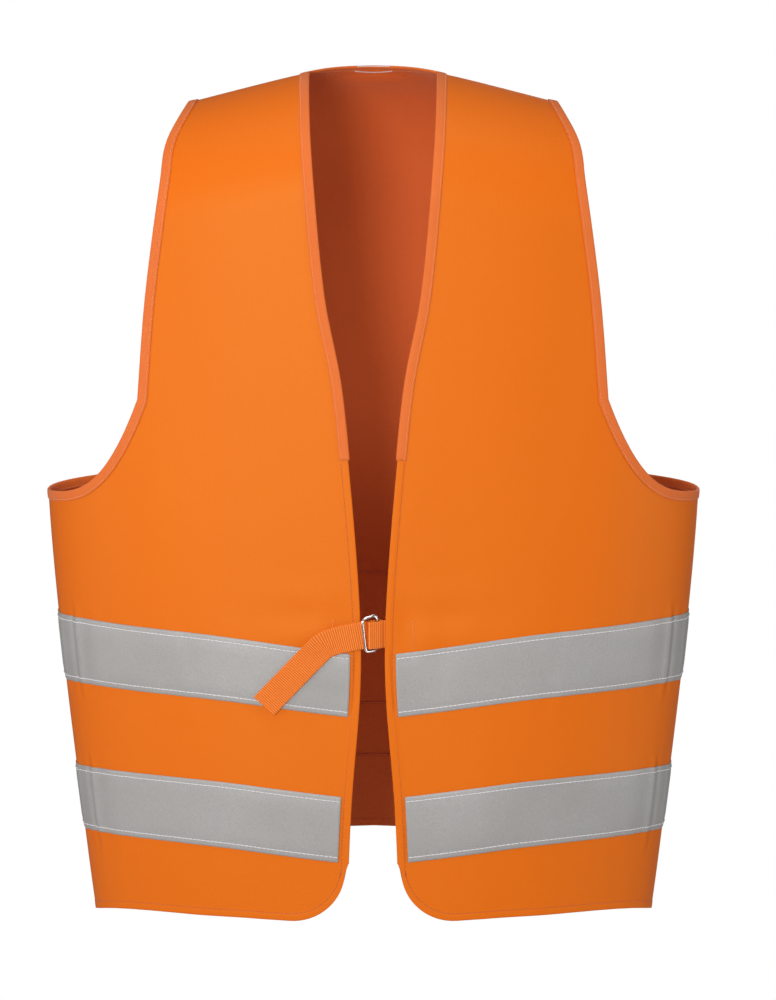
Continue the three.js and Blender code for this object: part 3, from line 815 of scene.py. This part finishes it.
def tape(side, body, level_name, columns, angles, drops, wearer=1):
    """One piece of tape over the rows of the cloth beneath it."""
    top = TAPE_TOPS[level_name]
    first = row_at(side, top)
    rows = slice(first, first + len(tape_rows(top)))
    angle, drop = angles[rows, columns], drops[rows, columns]
    from_edge = np.minimum(tape_rows(top) - top, top + TAPE_HEIGHT - tape_rows(top))[:, None]
    outer, inner = (place(side, angle, drop, out, wearer) for out in (tape_profile(from_edge), 0.08))
    piece = shell(f"{level_name}_silver_{body}", outer, inner, cloth_uv(side, angle, drop), SILVER)
    return attach(piece, body, "reflective_tape", f"{level_name}_tape_{body}")


def tape_stitches(side, level_name, edge_inset, wearer=1, out=0.5, whole=False):
    """The two stitch lines of a tape, from its front end or round the whole back."""
    lines = []
    top = TAPE_TOPS[level_name]
    for level in (top + TAPE_STITCH, top + TAPE_HEIGHT - TAPE_STITCH):
        inner_end = float(angle_at(smooth_line(FRONT_EDGE, level) + edge_inset, level))
        start = -RIGHT_ANGLE if whole else inner_end
        angle = steps(400, start, RIGHT_ANGLE)
        drop = hung(side, level, angle)
        lines.append(thread_line(*seam(side, angle, drop, out, wearer), 3.3, 0.4, 1.0))
    return lines


# ---- Bindings ----
def binding_profile():
    """Distances into the cloth and heights out of it, from a binding's inner end round to its outer."""
    flat = BINDING_WIDTH - np.array([0, 0.5, 1.1, 1.8, 3.1, 4.9, BINDING_WIDTH])
    puff = BINDING_REACH * np.array([0.35, 0.62, 0.48, 0.68, 0.95, 1.0, 1.0])
    middle, radius = -CLOTH / 2, CLOTH / 2 + BINDING_REACH
    turns = steps(6, -RIGHT_ANGLE, RIGHT_ANGLE)[1:-1]
    into = np.concatenate([flat, -radius * np.cos(turns), flat[::-1]])
    out = np.concatenate([-CLOTH - puff, middle + radius * np.sin(turns), puff[::-1]])
    return into, out


def moved_over(side, angle, drop, way, distance):
    """Angles and drops reached by going a distance over the cloth, in a direction at each point."""
    step = 0.01
    here = body_point(side, angle, drop)
    turn = np.where(np.abs(angle) > RIGHT_ANGLE - 0.1, -np.sign(angle) * step, step)
    around = (body_point(side, angle + turn, drop) - here) / turn[:, None]
    down = (body_point(side, angle, drop + step) - here) / step

    def dot(a, b):
        return np.einsum("ij,ij->i", a, b)

    rr, rd, dd = dot(around, around), dot(around, down), dot(down, down)
    wr, wd = dot(way, around) * distance, dot(way, down) * distance
    area = rr * dd - rd * rd
    return angle + (wr * dd - wd * rd) / area, drop + (wd * rr - wr * rd) / area


def inward_ways(side, angle, drop, into_angle, into_drop):
    """Directions into the cloth along its edge, square to the edge."""
    here = body_point(side, angle, drop)
    edge = np.empty_like(here)
    edge[1:-1] = here[2:] - here[:-2]
    edge[0], edge[-1] = here[1] - here[0], here[-1] - here[-2]
    edge = unit(edge)
    way = body_point(side, angle + into_angle, drop + into_drop) - here
    way = way - edge * np.einsum("ij,ij->i", way, edge)[:, None]
    way[np.abs(here[:, 1]) < 0.4, 1] = 0
    return unit(way)


def binding(name, side, body, node, angle, drop, into, wearer=1):
    """Binding folded over an edge of the cloth, and its stitches."""
    way = inward_ways(side, angle, drop, *into)
    columns = []
    for depth, out in zip(*binding_profile()):
        if depth > 0:
            columns.append(place(side, *moved_over(side, angle, drop, way, depth), out))
        else:
            columns.append(place(side, angle, drop, out) + way * depth)
    outer = np.stack(columns, 1)
    across = along_lengths(outer[len(outer) // 2])
    square = unit(np.cross(np.gradient(outer, axis=0), np.gradient(outer, axis=1)))
    toward_other_leaf = math.copysign(1, np.sum((outer[:, -1] - outer[:, 0]) * square[:, 0]))
    inner = outer + toward_other_leaf * square * BINDING
    along = along_lengths(outer[:, len(across) // 2])
    uv = np.stack(np.meshgrid(along, across, indexing="ij"), -1)
    piece = shell(name, mirrored(outer, wearer), mirrored(inner, wearer), uv, TRIM)
    attach(piece, body, "binding", node)
    sewn = moved_over(side, angle, drop, way, BINDING_WIDTH - 1.3)
    faces = [seam(side, *sewn, out, wearer) for out in (0.42, -CLOTH - 0.42)]
    lines = [thread_line(*face, 2.6, 0.22, lift=0.3) for face in faces]
    stitches = attach(threads(f"{name}_stitches", lines, PEACH_THREAD), body, "binding")
    return [piece, stitches]


def armhole_path(side, grid_angles, grid_drops):
    """The armhole edge of the cloth, down to the side seam."""
    count = row_at(side, UNDERARM) + 1
    return grid_angles[:count, -1], grid_drops[:count, -1]


def neck_path():
    levels = np.concatenate([roll_drop(ROLL_SHARES * RIGHT_ANGLE), levels_of(FRONT)])
    levels = np.append(levels[levels < BINDING_END - 1], BINDING_END)
    return angle_at(smooth_line(FRONT_EDGE, levels), levels), levels


def back_neck_path():
    middle = slice(len(TO_SIDE), len(TO_SIDE) + 2 * len(FROM_MIDDLE) - 1)
    return [values[0, middle] for values in BACK_GRID]


# ---- Hem stitches ----
def front_hem_line(wearer, inset, out):
    """A line round the front's edge and hem, at one distance from them."""
    levels = steps(160, BINDING_END + 2, HEM - CORNER_RADIUS)
    x = smooth_line(FRONT_EDGE, levels) + inset
    edge_angle = angle_at(x, levels)
    edge_drop = hung(FRONT, levels, edge_angle)
    turn = steps(40, 0, RIGHT_ANGLE)[1:]
    from_edge = CORNER_RADIUS - (CORNER_RADIUS - inset) * np.cos(turn)
    below = CORNER_RADIUS - (CORNER_RADIUS - inset) * np.sin(turn)
    corner_angle = angle_at(smooth_line(FRONT_EDGE, HEM - below) + from_edge, HEM - below)
    corner_drop = hung(FRONT, HEM, corner_angle) - below
    hem_angle = steps(240, corner_angle[-1], RIGHT_ANGLE - 0.005)[1:]
    hem_drop = hung(FRONT, HEM, hem_angle) - inset
    angle = np.concatenate([edge_angle, corner_angle, hem_angle])
    drop = np.concatenate([edge_drop, corner_drop, hem_drop])
    return seam(FRONT, angle, drop, out, wearer)


def back_hem_line(inset, out):
    angle = steps(400, -RIGHT_ANGLE + 0.005, RIGHT_ANGLE - 0.005)
    drop = hung(BACK, HEM, angle) - inset
    return seam(BACK, angle, drop, out)


HEM_THREAD_OUT = (-0.25, -CLOTH - 0.05)  # on the outer and on the inner face


def hem_thread(line):
    return thread_line(*line, 2.8, 0.22, lift=0.2)


def sewn_line(wearer):
    """The upright stitch line that holds the webbing behind a front."""
    drop = steps(30, CLOSURE - 11, CLOSURE + 9.5)
    x = smooth_line(FRONT_EDGE, CLOSURE) + SEWN_DEPTH - 1.5
    return seam(FRONT, angle_at(x + 0 * drop, drop), drop, -0.3, wearer)


# ---- Closure ----
CLEAR = 0.35
RING_CLEAR = 0.5
CAD_CLOTH = 0.8
CAD_WIRE = 1
# Heights over the cloth: of the strap's hidden part, of the rings' bars and of their sides in the loop
LAYER = -CAD_CLOTH - CLEAR - WEBBING / 2
TURN = CAD_WIRE + RING_CLEAR + WEBBING / 2
BAR_X = -RING_LENGTH / 2 - 1.2
LOOP_X = BAR_X + RING_LENGTH
REAR_BAR = LAYER + TURN
FRONT_BAR = REAR_BAR + 2 * TURN
FRONT_LOOP_SIDE = -CAD_WIRE + CLEAR
REAR_LOOP_SIDE = FRONT_LOOP_SIDE - 2 * CAD_WIRE - RING_CLEAR
FRONT_EDGE_X = float(smooth_line(FRONT_EDGE, CLOSURE))
SEWN_X = FRONT_EDGE_X + SEWN_DEPTH
FOLD_DEPTH = 1.5
STRAP_CLEAR = 0.4


def even_points(points, spacing):
    """Points a spacing apart along a line through the given ones."""
    at = along_lengths(points)
    return read_along(at, points, steps(max(int(at[-1] / spacing), 2), 0, at[-1]))


def catmull_rom(points, per_span=40):
    """A smooth line through points, as evenly turned as its points allow."""
    points = np.array(points, float)
    padded = np.concatenate([[2 * points[0] - points[1]], points, [2 * points[-1] - points[-2]]])
    lines = []
    for a, b, c, d in zip(padded, padded[1:], padded[2:], padded[3:]):
        knots = np.cumsum([0] + [math.sqrt(math.dist(p, q)) for p, q in ((a, b), (b, c), (c, d))])
        t = lerp(knots[1], knots[2], steps(per_span)[:-1])[:, None]

        def mix(p, q, start, end):
            return ((knots[end] - t) * p + (t - knots[start]) * q) / (knots[end] - knots[start])

        first, second, third = mix(a, b, 0, 1), mix(b, c, 1, 2), mix(c, d, 2, 3)
        lines.append(mix(mix(first, second, 0, 2), mix(second, third, 1, 3), 1, 2))
    return np.concatenate([*lines, points[-1:]])


def webbing(name, stops, body, node):
    """Ribbed webbing along stops of sideways place, drop and height over the cloth."""
    stops = even_points(stops, RIB_PITCH / 6)
    at = along_lengths(stops)
    way = unit(np.gradient(stops, axis=0))
    in_plane = np.hypot(way[:, 0], way[:, 1])
    width = np.stack([way[:, 1], -way[:, 0]], 1) / np.maximum(in_plane, 1e-6)[:, None]
    turning = in_plane < 0.999
    width[turning | (np.abs(way[:, 1]) < 1e-6)] = (0, 1)
    width = np.where((width[:, 1:] < 0), -width, width)
    half_shares = np.array([0.3, 0.6, 0.85, EDGE_STARTS, 0.985, 1])
    shares = np.concatenate([-half_shares[::-1], [0], half_shares])
    edge = 1 - 0.45 * np.maximum(np.abs(shares) - EDGE_STARTS, 0) / (1 - EDGE_STARTS)
    waves = 0.5 + 0.5 * np.cos(2 * math.pi * at / RIB_PITCH)
    ribs = RIB_HEIGHT * waves[:, None] * (np.abs(shares) < 0.97)
    faces = []
    for sign in (1, -1):
        half = sign * ((WEBBING / 2 - RIB_ROOT) * edge + ribs)
        aside = shares * (WEBBING_WIDTH / 2)
        run = np.maximum(np.hypot(way[:, 0], way[:, 2]), 1e-6)
        x = stops[:, :1] + (way[:, 2] / run)[:, None] * half + width[:, :1] * aside
        drop = stops[:, 1:2] + width[:, 1:] * aside
        out = stops[:, 2:] - (way[:, 0] / run)[:, None] * half
        faces.append(place(FRONT, angle_at(x, drop), drop, out))
    uv = np.stack(np.meshgrid(at, aside, indexing="ij"), -1)
    piece = shell(name, faces[0], faces[1], uv, RIBBED)
    return attach(piece, body, "webbing", node)


def at_closure(x, out):
    x, out = np.broadcast_arrays(x, out)
    return np.stack([x, np.full(x.shape, float(CLOSURE)), out], -1)


def strap_stops():
    """Sewn inside the wearer's right front, round the rear ring's bar, then hanging over that front."""
    hidden = at_closure(steps(60, -SEWN_X, BAR_X), LAYER)
    turn = steps(40, 0, math.pi)[1:]
    around = at_closure(BAR_X + TURN * np.sin(turn), REAR_BAR - TURN * np.cos(turn))
    tail = catmull_rom(STRAP_TAIL)[1:]
    hanging = at_closure(BAR_X + tail[:, 0], REAR_BAR + TURN)
    hanging[:, 1] += tail[:, 1]
    return np.concatenate([hidden, around, hanging])


def ring_plane(x, bar, loop_side):
    return bar + (x - BAR_X) / RING_LENGTH * (loop_side - bar)


def loop_stops():
    """Both ends sewn inside the wearer's left front, the fold round the near sides of both rings."""
    fold_x = BAR_X + 2 * TURN + STRAP_CLEAR

    def wedge(x):
        over = ring_plane(x, FRONT_BAR, FRONT_LOOP_SIDE) + TURN
        return over, ring_plane(x, REAR_BAR, REAR_LOOP_SIDE) - TURN

    x = steps(160, SEWN_X, fold_x)
    shut = smoothstep(x, LOOP_X + CAD_WIRE, FRONT_EDGE_X - CLEAR)
    upper = lerp(wedge(x)[0], LAYER, shut)
    lower = lerp(wedge(x)[1], LAYER - WEBBING - CLEAR, shut)
    high, low = wedge(fold_x)
    radius = (high - low) / 2
    turn = steps(40, 0, math.pi)
    fold = at_closure(fold_x - FOLD_DEPTH * np.sin(turn), low + radius + radius * np.cos(turn))
    return np.concatenate([at_closure(x, upper), fold, at_closure(x[::-1], lower[::-1])])


# Round a ring from the lower end of its bar, as shares of half its length and half its height
RING_OUTLINE = [
    (-1, -0.88), (-1, 0), (-1, 0.86), (-0.86, 0.98), (0, 1.14), (0.6, 1.2), (0.95, 0.98),
    (1, 0.6), (1.04, 0), (1, -0.72), (0.8, -0.96), (0, -1.04), (-0.86, -1), (-1, -0.88),
]


def ring(name, node, body, bar, loop_side):
    """A ring of wire: a straight bar, and a bowed side that the loop holds."""
    half_height = corners(node)[1][2] + CLOSURE - CAD_WIRE
    lean = math.asin((bar - loop_side) / RING_LENGTH)
    loop = catmull_rom(RING_OUTLINE, 8)[:-1]
    along = loop[:, 0] * RING_LENGTH / 2
    x = BAR_X + RING_LENGTH / 2 * math.cos(lean) + along * math.cos(lean)
    y = -FRONT_DEPTH - ((bar + loop_side) / 2 - along * math.sin(lean))
    x = x - RING_SLANT * loop[:, 1] * (1 - loop[:, 0]) / 2
    path = np.stack([x, y, loop[:, 1] * half_height - CLOSURE], 1)
    way = unit(np.roll(path, -1, 0) - np.roll(path, 1, 0))
    face = np.array([math.sin(lean), -math.cos(lean), 0])
    side = unit(np.cross(way, face))
    turns = steps(14, 0, 2 * math.pi)[:-1]
    swell = side[:, None] * np.cos(turns)[:, None] + np.cross(side, way)[:, None] * np.sin(turns)[:, None]
    tube = path[:, None] + WIRE_RADIUS * swell
    number = np.arange(tube.shape[0] * tube.shape[1]).reshape(tube.shape[:2])
    piece = make_mesh(name, tube, grid_faces(np.pad(number, (0, 1), "wrap")).tolist(), NICKEL)
    return attach(piece, body, "ring_wire", node)


# ---- Neck label ----
LABEL_BELOW_EDGE = 10
LABEL_HEIGHT = 12


def neck_label():
    """A blank woven label outside, below the back neck binding, and the white stitches that hold it."""
    low, high = corners("neck_label")
    half = (high[0] - low[0]) / 2
    start = math.acos(1 - BACK_NECK_SCOOP / SHOULDER_ROLL) + LABEL_BELOW_EDGE / BACK_DEPTH
    turns = start + LABEL_HEIGHT / BACK_DEPTH * steps(10)
    turn, x = np.meshgrid(turns, steps(12, -half, half), indexing="ij")
    drop = roll_drop(turn)
    outer, inner = (place(BACK, angle_at(x, drop), drop, out) for out in (0.75, 0.3))
    uv = np.stack([turn * BACK_DEPTH, x], -1)
    label = attach(shell("blank_neck_label", outer, inner, uv, LABEL), "back", "label", "neck_label")
    edge_angle, edge_drop = back_neck_path()
    near = np.abs(body_point(BACK, edge_angle, edge_drop)[:, 0]) < half + 4
    edge = edge_angle[near], edge_drop[near]
    way = inward_ways(BACK, *edge, 0, 5)
    sewn = moved_over(BACK, *edge, way, BINDING_WIDTH - 1.5)
    inner_face = place(BACK, *sewn, -CLOTH - BINDING_REACH), -normal_at(BACK, *edge)
    along_edge = place(BACK, *edge, -CLOTH / 2) - way * 0.95, -way
    lines = [thread_line(*line, 1.5, 0.45, 0.85) for line in (inner_face, along_edge)]
    stitches = attach(threads("neck_label_stitches", lines, WHITE_THREAD), "back", "label")
    return [label, stitches]


# ---- Assembly ----
def build_front(wearer):
    """One front with everything that is sewn on it."""
    name = SIDE_NAMES[wearer]
    body = f"front_{name}"
    distance = front_distance(*FRONT_GRID)
    node = f"front_panel_{name}"
    cloth = cloth_panel(f"front_cloth_{name}", FRONT, body, node, FRONT_GRID, distance, wearer)
    columns = slice(int(np.argmin(np.abs(FROM_EDGE - TAPE_INSET))), None)
    goes_with = [tape(FRONT, body, level, columns, *FRONT_GRID, wearer) for level in TAPE_TOPS]
    lines = [line for level in TAPE_TOPS for line in tape_stitches(FRONT, level, TAPE_INSET + 0.5, wearer)]
    goes_with.append(attach(threads(f"tape_stitches_{name}", lines, WHITE_THREAD), body, "reflective_tape"))
    node = f"neck_binding_{name}"
    goes_with += binding(f"neck_trim_{name}", FRONT, body, node, *neck_path(), (0.05, 0), wearer)
    node = f"armhole_binding_front_{name}"
    armhole = armhole_path(FRONT, *FRONT_GRID)
    goes_with += binding(f"armhole_trim_front_{name}", FRONT, body, node, *armhole, (-0.05, 5), wearer)
    hem = [hem_thread(front_hem_line(wearer, HEM_WIDTH, out)) for out in HEM_THREAD_OUT]
    goes_with.append(attach(threads(f"hem_stitches_{name}", hem, RUST_SHADE_THREAD), body, "fabric"))
    sewn = [thread_line(*sewn_line(wearer), 1.6, 0.3, 0.62, lift=0.4)]
    goes_with.append(attach(threads(f"closure_stitches_{name}", sewn, PEACH_THREAD), body, "fabric"))
    return cloth, goes_with


def build_back():
    """The back with everything that is sewn on it."""
    distance = distance_to_hem(BACK, *BACK_GRID)
    cloth = cloth_panel("back_cloth", BACK, "back", "back_panel", BACK_GRID, distance)
    goes_with = [tape(BACK, "back", level, slice(None), *BACK_GRID) for level in TAPE_TOPS]
    lines = [line for level in TAPE_TOPS for line in tape_stitches(BACK, level, 0, whole=True)]
    goes_with.append(attach(threads("tape_stitches_back", lines, WHITE_THREAD), "back", "reflective_tape"))
    inner_face = {"out": -CLOTH - 0.05, "whole": True}
    lines = [line for level in TAPE_TOPS for line in tape_stitches(BACK, level, 0, **inner_face)]
    lines += [hem_thread(back_hem_line(HEM_WIDTH, out)) for out in HEM_THREAD_OUT]
    goes_with.append(attach(threads("hem_stitches_back", lines, RUST_SHADE_THREAD), "back", "fabric"))
    goes_with += binding("neck_trim_back", BACK, "back", "neck_binding_back", *back_neck_path(), (0, 5))
    armhole = armhole_path(BACK, *BACK_GRID)
    for wearer, name in SIDE_NAMES.items():
        trim, node = f"armhole_trim_back_{name}", f"armhole_binding_back_{name}"
        goes_with += binding(trim, BACK, "back", node, *armhole, (-0.05, 5), wearer)
    return cloth, goes_with + neck_label()


back, on_back = build_back()
for wearer in SIDE_NAMES:
    panel, on_panel = build_front(wearer)
webbing("webbing_strap", strap_stops(), "front_right", "closure_strap")
webbing("webbing_loop", loop_stops(), "front_left", "ring_loop")
ring("wire_ring_rear", "d_ring_rear", "ring_rear", REAR_BAR, REAR_LOOP_SIDE)
ring("wire_ring_front", "d_ring_front", "ring_front", FRONT_BAR, FRONT_LOOP_SIDE)


# ---- Stage, lights and camera ----
def white_world(strength):
    """White behind the object, and a weaker even light on it."""
    world = bpy.data.worlds.new("studio")
    world.use_nodes = True
    nodes, links = world.node_tree.nodes, world.node_tree.links
    light_path = nodes.new("ShaderNodeLightPath")
    seen, around = nodes["Background"], nodes.new("ShaderNodeBackground")
    seen.inputs["Color"].default_value = (1, 1, 1, 1)
    around.inputs["Color"].default_value = (1, 1, 1, 1)
    around.inputs["Strength"].default_value = strength
    choice = nodes.new("ShaderNodeMixShader")
    links.new(light_path.outputs["Is Camera Ray"], choice.inputs[0])
    links.new(around.outputs[0], choice.inputs[1])
    links.new(seen.outputs[0], choice.inputs[2])
    links.new(choice.outputs[0], nodes["World Output"].inputs["Surface"])
    bpy.context.scene.world = world


def area_light(name, location, target, size, power):
    light = bpy.data.lights.new(name, "AREA")
    light.shape = "DISK"
    light.size = size
    light.energy = power
    holder = bpy.data.objects.new(name, light)
    holder.location = location
    holder.rotation_mode = "QUATERNION"
    holder.rotation_quaternion = (Vector(target) - Vector(location)).to_track_quat("-Z", "Y")
    bpy.context.collection.objects.link(holder)


def pale_floor(height, radius):
    """A plain pale floor, well below the hem: the vest hangs as if it were worn."""
    turns = steps(96, 0, 2 * math.pi)[:-1]
    points = [(radius * math.cos(turn), radius * math.sin(turn), height) for turn in turns]
    mesh = bpy.data.meshes.new("pale_floor")
    mesh.from_pydata(points, [], [tuple(range(len(points)))])
    mesh.materials.append(new_material("pale_floor", Base_Color=(0.85, 0.85, 0.85, 1), Roughness=0.9))
    floor = bpy.data.objects.new("pale_floor", mesh)
    bpy.context.collection.objects.link(floor)


def camera(distance, elevation, heights_per_radian, aim):
    """A camera in front of an aim. Its view's height times heights_per_radian is its focal length."""
    data = bpy.data.cameras.new("camera")
    data.sensor_width = 36
    data.lens = data.sensor_width * heights_per_radian
    view = bpy.data.objects.new("camera", data)
    away = Vector((0, -math.cos(elevation), math.sin(elevation)))
    view.location = Vector(aim) + away * distance
    view.rotation_mode = "QUATERNION"
    view.rotation_quaternion = (-away).to_track_quat("-Z", "Y")
    bpy.context.collection.objects.link(view)
    bpy.context.scene.camera = view


white_world(0.21)
chest = (0, -FRONT_DEPTH * MM, -0.15)
area_light("key", (-0.36, -1.5, -0.05), chest, 0.4, 13.5)
area_light("fill", (0.1, -2.0, 0.1), chest, 0.8, 1.5)
area_light("top", (0, -0.45, 1.5), (0, 0, 0), 1.0, 12)
area_light("behind", (0.6, 2.0, -0.1), (0, 0, -0.3), 1.0, 9)
for across in (-1.9, 1.9):
    area_light("side", (across, -0.75, -0.25), (0, 0, -0.4), 0.9, 10)
pale_floor(-1.5, 1.8)
camera(2.4, math.radians(9), 3.17, (0.011, 0, -0.3254))
bpy.context.scene.view_settings.view_transform = "Standard"
